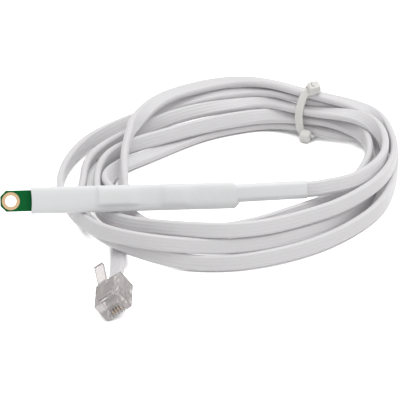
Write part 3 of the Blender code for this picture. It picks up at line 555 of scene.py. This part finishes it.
def place_group(tree, name, build, **inputs):
    """One of the shared groups in a material. The group is built the first time that it is asked for."""
    shared = bpy.data.node_groups.get(name) or build()
    return add(tree, "ShaderNodeGroup", {"node_tree": shared}, **inputs)


def surface(tree, shader, tone, roughness, scale, drift, drift_scale, spread, bump, strength):
    """Wires drifting tone, grained roughness and fine relief to a shader.

    Gives the node of coordinates, and the outputs that hold the tone and the roughness.
    """
    where = add(tree, "ShaderNodeTexCoord")
    vector = where.outputs["Object"]
    tint = place_group(tree, "Tone drift", mottle_group, Vector=vector, Colour=(*tone, 1),
                       Scale=drift_scale, Amount=drift)
    grain = place_group(tree, "Moulded grain", grain_group, Vector=vector, Scale=scale,
                        Roughness=roughness, Spread=spread)
    relief = add(tree, "ShaderNodeBump", Height=grain.outputs["Height"], Distance=bump, Strength=strength)
    wire(tree, shader.inputs["Base Color"], tint.outputs["Colour"])
    wire(tree, shader.inputs["Roughness"], grain.outputs["Roughness"])
    wire(tree, shader.inputs["Normal"], relief.outputs["Normal"])
    return where, tint.outputs["Colour"], grain.outputs["Roughness"]


def plastic(name, tone, roughness, scale=900.0, drift=0.05, drift_scale=60.0, bump=0.00001, spread=0.1,
            marks=None, sub=0.0, shine=0.5):
    """Moulded or extruded plastic: drifting tone, fine grain, and optional handling marks along the UV.

    The marks darken and warm the tone, and roughen the surface.
    """
    material, tree, shader = nodes_of(name)
    where, base, rough = surface(tree, shader, tone, roughness, scale, drift, drift_scale, spread, bump, 0.6)
    if marks:
        scuffs = place_group(tree, "Handling marks", scuff_group, Vector=where.outputs["UV"], Density=0.62)
        mask = scuffs.outputs["Mask"]
        wire(tree, shader.inputs["Roughness"], maths(tree, "MULTIPLY_ADD", mask, 0.25, rough))
        worn_share = (0.62, 0.60, 0.57)
        mixed = add(tree, "ShaderNodeMix", {"data_type": "RGBA"})
        wire(tree, mixed.inputs[0], maths(tree, "MULTIPLY", mask, marks))
        wire(tree, mixed.inputs[6], base)
        wire(tree, mixed.inputs[7], (*(part * share for part, share in zip(tone, worn_share)), 1))
        wire(tree, shader.inputs["Base Color"], mixed.outputs[2])
    wire(tree, shader.inputs["Subsurface Weight"], sub)
    wire(tree, shader.inputs["Subsurface Radius"], (0.0012, 0.0011, 0.0010))
    wire(tree, shader.inputs["Subsurface Scale"], 1.0)
    wire(tree, shader.inputs["Specular IOR Level"], shine)
    return material


def metal(name, tone, roughness, scale=1500.0, drift=0.12):
    """Plated metal: tone that drifts a little, and roughness broken up by grain."""
    material = plastic(name, tone, roughness, scale=scale, drift=drift, drift_scale=400.0,
                       bump=0.000004, spread=0.25)
    material.node_tree.nodes["Principled BSDF"].inputs["Metallic"].default_value = 1.0
    return material


def clear_plastic(name, tone):
    """Clear moulded polycarbonate, a little hazy where the mould was worn."""
    material, tree, shader = nodes_of(name)
    surface(tree, shader, tone, roughness=0.17, scale=700.0, drift=0.06, drift_scale=300.0, spread=0.10,
            bump=0.000012, strength=0.5)
    wire(tree, shader.inputs["Transmission Weight"], 0.72)
    wire(tree, shader.inputs["IOR"], 1.50)
    return material


def dress(node, material):
    """Gives a CAD node its finish."""
    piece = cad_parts[node]
    piece.data.materials.clear()
    piece.data.materials.append(material)


def stand_in(piece, slot, *nodes):
    """Puts a piece on the body and hides the CAD nodes that it stands for. Its slot is not used."""
    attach(piece, "root")
    if nodes:
        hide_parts(*nodes)


def swept(line, side, out, across, through):
    """Points of a section carried along a line: one row for each place on the line."""
    return line[:, None] + side[:, None] * across[None, :, None] + out[:, None] * through[None, :, None]


class SENSOR_OT_cable(Operator):
    """Lay the flat cable: out of the sleeve, round the coil and into the plug"""

    bl_idname = "sensor.cable"
    bl_label = "Flat cable"

    def execute(self, context):
        """Sweeps the cable's section along its path."""
        sizes = context.scene.sensor.cable
        path, lean, _ = cable_path()
        _, wide, thick = ribbon_axes(path, lean)
        grid = swept(path, wide, thick, *cable_section(sizes.width, sizes.thickness, sizes.ridge, 64))
        jacket = plastic("Cable jacket", sizes.jacket, 0.42, scale=1400.0, drift=0.035,
                         drift_scale=45.0, bump=0.000006, spread=0.12, marks=0.25, sub=0.35)
        cable = outward_faces(skin("flat_cable", grid, jacket, caps=True))
        stand_in(cable, "jacket", "cable_lead", "cable_coil", "cable_tail")
        return {"FINISHED"}


def raised_over(distance, first, last, rise, fall):
    """1 between two marks and 0 away from them: a logistic up at the first times one down at the last."""
    return 1 / (1 + np.exp(-4 * (distance - first) / rise)) / (1 + np.exp(4 * (distance - last) / fall))


def ramp(distance, start, run):
    """0 before a start and 1 after a run past it, straight between them."""
    return np.clip((distance - start) / run, 0, 1)


def soft_wrinkles(along, across, side):
    """Shallow creases of the shrunk film: three waves of fixed phase, one of them crossed with a slow one."""
    a = np.sin(along * 1900 + np.sin(across * 1500) * 1.4 + side)
    b = np.sin(along * 760 - across * 900 + 2.0 * side)
    c = np.sin(along * 3100 + across * 2300 + 0.7) * np.sin(along * 420 + 1.1)
    return 0.42 * a + 0.38 * b + 0.2 * c


def board_sleeve_surface(along, turn, wall, wrinkle):
    """The wide sleeve's outer surface: a flattened superellipse that tents over the chips.

    Both edges step in to the narrow sleeve at the very end. The front and back close on it over a longer lip.
    """
    lip = ramp(along, BOARD_LENGTH - 0.0028, 0.0045)
    lip = lip * lip * (3 - 2 * lip)
    layers = 2 * (FILM_GAP + wall)
    top = ramp(along, SLEEVE_END - 0.0012, 0.0012) ** 1.3
    low = ramp(along, SLEEVE_END - 0.0014, 0.0014) ** 1.3
    middle = cable_side(along)
    upper = SLEEVE_HALF_WIDTH * (1 - top) + (middle + CABLE_WIDTH / 2 + layers) * top
    lower = -SLEEVE_HALF_WIDTH * (1 - low) + (middle - CABLE_WIDTH / 2 - layers) * low
    sine = np.sin(turn)
    across = (upper + lower) / 2 + (upper - lower) / 2 * signed_power(np.cos(turn), 0.62)
    grip = CABLE_THICKNESS / 2 + layers
    raised = SLEEVE_FRONT * (1 - lip) + grip * lip
    back = SLEEVE_BACK * (1 - lip) + grip * lip
    for rise, run, width in CHIP_RISES:
        raised = raised + rise * (raised_over(along, *run) * raised_over(across, *width))
    height = np.where(sine >= 0, raised, back) * signed_power(sine, 0.55)
    creases = soft_wrinkles(along, across, np.where(sine >= 0, 0.0, 2.1))
    return across, height + np.sign(sine) * wrinkle * creases * np.abs(sine) ** 0.5


class SENSOR_OT_sleeves(Operator):
    """Shrink the wide sleeve over the board and the narrow one over the cable's end"""

    bl_idname = "sensor.sleeves"
    bl_label = "Shrink sleeves"

    def execute(self, context):
        """Builds each sleeve as one closed shell: out along its outer face and back along its inner one."""
        sizes = context.scene.sensor.sleeve
        look = {"drift": 0.03, "drift_scale": 90.0, "bump": 0.00001, "marks": 0.2, "sub": 0.1}
        film = plastic("Shrink film", sizes.film, 0.46, scale=700.0, spread=0.14, **look)
        fine = plastic("Narrow shrink film", sizes.film, 0.42, scale=800.0, spread=0.12, **look)
        turns = np.linspace(0, 2 * np.pi, 96, endpoint=False) + math.pi / 96
        self.shell("wide_sleeve", self.wide(turns, sizes), sizes.wall, film, "board_sleeve")
        self.shell("narrow_sleeve", self.narrow(turns[::2], sizes), sizes.wall, fine, "cable_sleeve")
        return {"FINISHED"}

    @staticmethod
    def wide(turns, sizes):
        """The wide sleeve's rings. Its lower edge runs on past the upper one, and its mouth dips inwards."""
        stations = np.linspace(SLEEVE_START, SLEEVE_END, 260)
        along, turn = np.meshgrid(stations, turns, indexing="ij")
        across, height = board_sleeve_surface(along, turn, sizes.wall, sizes.wrinkle)
        skew = 0.0014 * ramp(along, SLEEVE_END - 0.010, 0.010) * (0.5 - 0.5 * np.cos(turn))
        mouth = 1 - ramp(along, SLEEVE_START, 0.0020)
        dip = 0.00035 * mouth * (1 - (across / SLEEVE_HALF_WIDTH) ** 2)
        return np.stack([along + dip + skew - PROBE_LENGTH / 2, across, height], axis=-1)

    @staticmethod
    def narrow(turns, sizes):
        """The narrow sleeve's rings: the cable's section let out, in faint waves, and opened at the end."""
        stations = np.linspace(CABLE_SLEEVE_START, PROBE_LENGTH, 140)
        along, turn = np.meshgrid(stations, turns, indexing="ij")
        gap = FILM_GAP + sizes.wall
        wave = 0.0045 * np.sin(along * 900) + 0.003 * np.sin(along * 2300 + turn)
        x, y = cable_section(CABLE_WIDTH + 2 * gap, CABLE_THICKNESS + 2 * gap, 0.0, len(turns))
        end = ramp(along, PROBE_LENGTH - 0.0012, 0.0012) ** 2
        across, height = cable_side(along) + x, y * (1 + wave + 0.05 * end)
        return np.stack([along - PROBE_LENGTH / 2, across, height], axis=-1)

    @staticmethod
    def inwards(grid):
        """Unit normals of a grid of rings, pointing to its inside: one difference crossed with the other."""
        run = np.gradient(grid, axis=0)
        round_it = np.roll(grid, -1, axis=1) - np.roll(grid, 1, axis=1)
        normal = np.cross(run, round_it)
        normal /= np.linalg.norm(normal, axis=2, keepdims=True) + 1e-12
        centre = grid.mean(axis=1, keepdims=True)
        facing = np.sign(((centre - grid) * normal).sum(axis=2).mean())
        return normal * facing

    def shell(self, name, outer, wall, material, node):
        """Joins the outer rings and the inner ones, back to front, into a closed shell."""
        inner = outer + self.inwards(outer) * wall
        grid = from_probe(np.concatenate([outer, inner[::-1]]))
        stand_in(outward_faces(skin(name, grid, material, wrap_rows=True)), "shrink_sleeve", node)


class SENSOR_OT_board(Operator):
    """Finish the board, its ring, chips, joints and conductors"""

    bl_idname = "sensor.board"
    bl_label = "Board"

    def execute(self, context):
        """Gives each carried-over node of the board its material."""
        gold = context.scene.sensor.plug.gold
        mask = plastic("Solder mask", (0.0, 0.118, 0.026), 0.55, scale=1100.0, drift=0.25,
                       drift_scale=500.0, bump=0.000012, spread=0.1, shine=0.12)
        dress("circuit_board", mask)
        dress("hole_plating", metal("Ring plating", gold, 0.34))
        epoxy = plastic("Chip moulding", (0.02, 0.02, 0.022), 0.55, scale=2500.0, drift=0.2, bump=0.00002)
        for node in ("humidity_chip", "controller_chip", "memory_chip", "resistor_1", "resistor_2"):
            dress(node, epoxy)
        ceramic = plastic("Capacitor ceramic", (0.45, 0.36, 0.26), 0.4, scale=2500.0, drift=0.1)
        dress("decoupling_capacitor", ceramic)
        tin = metal("Solder", (0.70, 0.70, 0.72), 0.25)
        for i, (slot, core) in enumerate(self.cores().items(), 1):
            dress(f"solder_joint_{i}", tin)
            dress(f"board_conductor_{i}", core)
            dress(f"plug_conductor_{i}", core)
        return {"FINISHED"}

    @staticmethod
    def cores():
        """The four conductors' insulation, in order."""
        tones = {"core_black": (0.02, 0.02, 0.02), "core_red": (0.45, 0.03, 0.03),
                 "core_green": (0.02, 0.20, 0.05), "core_yellow": (0.60, 0.48, 0.04)}
        return {slot: plastic("Insulation " + slot[5:], tone, 0.4, scale=2000.0, drift=0.08)
                for slot, tone in tones.items()}


class SENSOR_OT_plug(Operator):
    """Finish the clear plug and its contacts"""

    bl_idname = "sensor.plug"
    bl_label = "Modular plug"

    def execute(self, context):
        """Gives the plug's nodes their materials."""
        tones = context.scene.sensor.plug
        dress("plug_body", clear_plastic("Clear plug", tones.tint))
        blade = metal("Contact plating", tones.gold, 0.28)
        for i in range(1, 5):
            dress(f"plug_contact_{i}", blade)
        return {"FINISHED"}


def around(turn, middle, spread):
    """A bell over an angle: one at its middle, falling off with the square of the shortest way round."""
    away = (turn - math.radians(middle) + np.pi) % (2 * np.pi) - np.pi
    return np.exp(-(away / spread) ** 2)


class SENSOR_OT_tie(Operator):
    """Pull the nylon tie round the coil"""

    bl_idname = "sensor.tie"
    bl_label = "Cable tie"

    def execute(self, context):
        """Wraps a strap round the turns' sections at the tie, then adds the head, trimmed end and fold."""
        sizes = context.scene.sensor.tie
        nylon = plastic("Natural nylon", sizes.nylon, 0.36, scale=1200.0, drift=0.10,
                        drift_scale=500.0, bump=0.00001, sub=0.45)
        x, y, heading = COIL_LINE[TIE_STATION]
        heading = math.radians(heading)
        centre = np.array((x * 0.001, y * 0.001, FLOOR + TIE_HEIGHT))
        out = np.array((math.sin(heading), -math.cos(heading), 0.0))
        run = np.array((math.cos(heading), math.sin(heading), 0.0))
        up = np.array((0, 0, 1.0))
        section = self.held(centre, run)
        turn = np.linspace(0, 2 * np.pi, 240, endpoint=False)
        a, b = self.loop(section @ out, section @ up, turn, sizes.thickness)
        b = np.maximum(b, FLOOR + sizes.thickness / 2 + 0.0005 - centre[2])
        lean = sum(most * around(turn, middle, spread) for most, middle, spread in STRAP_LEANS)
        line = centre + a[:, None] * out + b[:, None] * up + lean[:, None] * run
        along = unit(np.roll(line, -1, axis=0) - np.roll(line, 1, axis=0))
        thick = unit(np.cross(along, run))
        thick *= np.sign(((line - centre) * thick).sum(axis=1).mean())
        u, v = cable_section(sizes.width, sizes.thickness, 0.0, 24)
        v = np.sign(v) * np.minimum(np.abs(v) * 1.25, sizes.thickness / 2)
        grid = swept(line, np.cross(thick, along), thick, u, v)
        grid[..., 2] = np.maximum(grid[..., 2], FLOOR)
        stand_in(outward_faces(skin("tie_strap", grid, nylon, wrap_rows=True)), "nylon", "cable_tie")
        at, low = (int(np.argmin(np.abs(turn - math.radians(angle)))) for angle in (HEAD_ANGLE, FOLD_ANGLE))
        self.head(line[at], along[at], thick[at], nylon, sizes)
        middle = line[low] + thick[low] * 0.0013
        middle[2] = max(middle[2], FLOOR + FOLD_SHAPE[0][1])
        self.block("tie_fold", middle, along[low], thick[low], nylon, *FOLD_SHAPE)
        return {"FINISHED"}

    @staticmethod
    def held(centre, run):
        """The points of the cable's sections that the tie goes round, as seen from its middle."""
        path, lean, _ = cable_path()
        _, wide, thick = ribbon_axes(path, lean)
        points = swept(path, wide, thick, *cable_section(CABLE_WIDTH, CABLE_THICKNESS, 0.0, 24))
        near = np.abs((path - centre) @ run) < TIE_REACH
        near &= np.linalg.norm(path - centre, axis=1) < TIE_RADIUS
        return (points[near] - centre).reshape(-1, 3)

    @staticmethod
    def loop(a, b, turn, thickness):
        """The strap's middle line round the turns' section, from the section's support in each direction.

        A support h gives the points h cos - h' sin and h sin + h' cos. It is smoothed, and slack at the lower
        front lifts it off the turns.
        """
        support = (np.outer(a, np.cos(turn)) + np.outer(b, np.sin(turn))).max(axis=0) + 0.0001 + thickness / 2
        slack, *place = STRAP_SLACK
        support += slack * around(turn, *place)
        reach, blur = 24, 7.0
        kernel = np.exp(-0.5 * (np.arange(-reach, reach + 1) / blur) ** 2)
        padded = np.r_[support[-reach:], support, support[:reach]]
        support = np.convolve(padded, kernel / kernel.sum(), mode="valid")
        slope = (np.roll(support, -1) - np.roll(support, 1)) / (2 * (turn[1] - turn[0]))
        return support * np.cos(turn) - slope * np.sin(turn), support * np.sin(turn) + slope * np.cos(turn)

    def head(self, start, along, out, nylon, sizes):
        """A rounded block on the strap at the coil's rear, and the trimmed end through it."""
        side = np.cross(out, along)
        middle = start + out * (0.0014 + sizes.thickness * 0.3)
        self.block("tie_head", middle, along, out, nylon, *HEAD_SHAPE)
        share = np.linspace(0, 1, 12)[:, None]
        run = middle + out * (0.0006 + 0.0013 * share) + along * 0.0003
        grid = swept(run, side[None], along[None],
                     *cable_section(sizes.width * 0.86, sizes.thickness * 0.9, 0.0, 24))
        stand_in(outward_faces(skin("tie_end", grid, nylon, caps=True)), "nylon")

    @staticmethod
    def block(name, middle, along, out, nylon, half, power):
        """A superellipsoid on the strap: each of its sines and cosines is raised to a power below one."""
        tall, turn = np.meshgrid(np.linspace(-np.pi / 2, np.pi / 2, 41),
                                 np.linspace(0, 2 * np.pi, 56, endpoint=False), indexing="ij")
        ring = signed_power(np.cos(tall), power)
        shape = np.stack([ring * signed_power(np.cos(turn), power), ring * signed_power(np.sin(turn), power),
                          signed_power(np.sin(tall), power)], axis=-1) * half
        grid = middle + shape @ np.stack([along, np.cross(out, along), out])
        grid[..., 2] = np.maximum(grid[..., 2], FLOOR)
        stand_in(outward_faces(skin(name, grid, nylon, caps=True)), "nylon")


class SENSOR_OT_declare(Operator):
    bl_idname = "sensor.declare"
    bl_label = "Cord facts"

    def execute(self, context):
        """Works out the cord's path and the distance along it, and states nothing."""
        path, _, gone = cable_path()
        return {"FINISHED"}


class SENSOR_OT_stage(Operator):
    """Set the white floor, the soft lamps and the camera"""

    bl_idname = "sensor.stage"
    bl_label = "Stage"

    def execute(self, context):
        """Builds the floor, world, lamps and camera."""
        look = context.scene.sensor.stage
        self.floor(look)
        self.world(look)
        self.lamp("key", look.key, (0.22, 0.18, 0.78), 0.7)
        self.lamp("fill", look.fill, (0.35, -0.75, 0.35), 0.5)
        self.camera()
        context.scene.view_settings.view_transform = "Standard"
        return {"FINISHED"}

    @staticmethod
    def seen(tree):
        """1 for the rays that show a background: camera, glossy and transmission."""
        rays = tree.nodes.new("ShaderNodeLightPath").outputs
        both = maths(tree, "MAXIMUM", rays["Is Camera Ray"], rays["Is Glossy Ray"])
        return maths(tree, "MAXIMUM", both, rays["Is Transmission Ray"])

    def floor(self, look):
        """A large plane that glows a little for seen rays, so that it shows white and keeps shadows.

        The glow fades where the air above the floor is closed in, which paints shade into the narrow gaps
        between and under the turns.
        """
        half, z = 3.0, FLOOR - 0.0001
        corners = np.array([[(-half, -half, z), (half, -half, z)], [(-half, half, z), (half, half, z)]])
        material = bpy.data.materials.new("White floor")
        material.use_nodes = True
        tree = material.node_tree
        tree.nodes.clear()
        out = tree.nodes.new("ShaderNodeOutputMaterial")
        matt = add(tree, "ShaderNodeBsdfDiffuse", Color=(*look.floor, 1))
        glow = add(tree, "ShaderNodeEmission", Color=(1, 1, 1, 1))
        # Painted shade: occlusion cuts the glow that the camera sees, so the floor shows dark in the crevices
        # between the turns.
        open_air = add(tree, "ShaderNodeAmbientOcclusion", {"samples": 16}, Distance=0.008)
        glow_with_painted_shade = add(tree, "ShaderNodeMapRange", Value=open_air.outputs["AO"], From_Min=0.2, From_Max=0.5,
                   To_Max=0.85)
        wire(tree, glow.inputs["Strength"], maths(tree, "MULTIPLY", self.seen(tree), glow_with_painted_shade.outputs["Result"]))
        both = tree.nodes.new("ShaderNodeAddShader")
        tree.links.new(matt.outputs[0], both.inputs[0])
        tree.links.new(glow.outputs[0], both.inputs[1])
        tree.links.new(both.outputs[0], out.inputs["Surface"])
        floor = skin("floor", corners, material, wrap_columns=False, smooth=False)

    def world(self, look):
        """Even light from all round, which shows as plain white."""
        world = bpy.data.worlds.new("Soft box")
        bpy.context.scene.world = world
        world.use_nodes = True
        tree = world.node_tree
        tree.nodes.clear()
        out = tree.nodes.new("ShaderNodeOutputWorld")
        strength = add(tree, "ShaderNodeMapRange", Value=self.seen(tree), To_Min=look.sky, To_Max=1.0)
        sky = add(tree, "ShaderNodeBackground", Color=(1, 1, 1, 1), Strength=strength.outputs["Result"])
        tree.links.new(sky.outputs[0], out.inputs["Surface"])

    @staticmethod
    def lamp(name, power, place, size):
        """A square soft lamp that looks at the coil's middle."""
        light = bpy.data.lights.new(name, "AREA")
        light.energy = power
        light.size = size
        lamp = bpy.data.objects.new(name, light)
        bpy.context.scene.collection.objects.link(lamp)
        lamp.location = place
        aim = Vector((0.02, 0.02, 0.0)) - lamp.location
        lamp.rotation_euler = aim.to_track_quat("-Z", "Y").to_euler()

    @staticmethod
    def camera():
        """A long lens 32 degrees above the horizon, 3.2 pixels to the millimetre at the probe.

        The shifts from the probe's middle are in thousands of pixels.
        """
        tilt, turn, away, scale = math.radians(32.0), math.radians(-2.9), 1.2, 3.2
        sensor_width, picture_width = 36.0, 400
        shift_right, shift_down = 0.046, 0.0026
        right = Vector((math.cos(turn), math.sin(turn), 0))
        ahead = Vector((-math.sin(turn), math.cos(turn), 0))
        look = ahead * math.cos(tilt) - Vector((0, 0, math.sin(tilt)))
        up = ahead * math.sin(tilt) + Vector((0, 0, math.cos(tilt)))
        target = right * (shift_right / scale) - up * (shift_down / scale)
        data = bpy.data.cameras.new("camera")
        data.sensor_width = sensor_width
        data.lens = sensor_width * scale * away * 1000 / picture_width
        data.clip_start, data.clip_end = 0.01, 20.0
        camera = bpy.data.objects.new("camera", data)
        camera.matrix_world = Matrix((
            (right.x, up.x, -look.x, target.x - look.x * away),
            (right.y, up.y, -look.y, target.y - look.y * away),
            (right.z, up.z, -look.z, target.z - look.z * away),
            (0, 0, 0, 1)))
        bpy.context.scene.collection.objects.link(camera)
        bpy.context.scene.camera = camera


class SENSOR_PT_panel(Panel):
    """Humidity sensor's pieces."""

    bl_label = "Humidity sensor"
    bl_idname = "SENSOR_PT_panel"
    bl_space_type = "VIEW_3D"
    bl_region_type = "UI"
    bl_category = "Sensor"

    def draw(self, context):
        """Lists the operators and the settings."""
        for operator in OPERATORS:
            self.layout.operator(operator.bl_idname)
        for part in ("cable", "sleeve", "tie", "plug", "stage"):
            box = self.layout.box()
            settings = getattr(context.scene.sensor, part)
            for name in settings.bl_rna.properties.keys():
                if name not in ("rna_type", "name"):
                    box.prop(settings, name)


SETTINGS = (CableSettings, SleeveSettings, TieSettings, PlugSettings, StageSettings, SensorSettings)
OPERATORS = (SENSOR_OT_cable, SENSOR_OT_sleeves, SENSOR_OT_board, SENSOR_OT_plug, SENSOR_OT_tie,
             SENSOR_OT_declare, SENSOR_OT_stage)


def register():
    """Registers the settings, operators and panel."""
    for item in (*SETTINGS, *OPERATORS, SENSOR_PT_panel):
        bpy.utils.register_class(item)
    bpy.types.Scene.sensor = PointerProperty(type=SensorSettings)


def unregister():
    """Takes them away again."""
    del bpy.types.Scene.sensor
    for item in reversed((*SETTINGS, *OPERATORS, SENSOR_PT_panel)):
        bpy.utils.unregister_class(item)


def main():
    """Builds every piece in order."""
    register()
    bpy.ops.sensor.cable()
    bpy.ops.sensor.sleeves()
    bpy.ops.sensor.board()
    bpy.ops.sensor.plug()
    bpy.ops.sensor.tie()
    bpy.ops.sensor.declare()
    bpy.ops.sensor.stage()


if __name__ == "__main__":
    main()
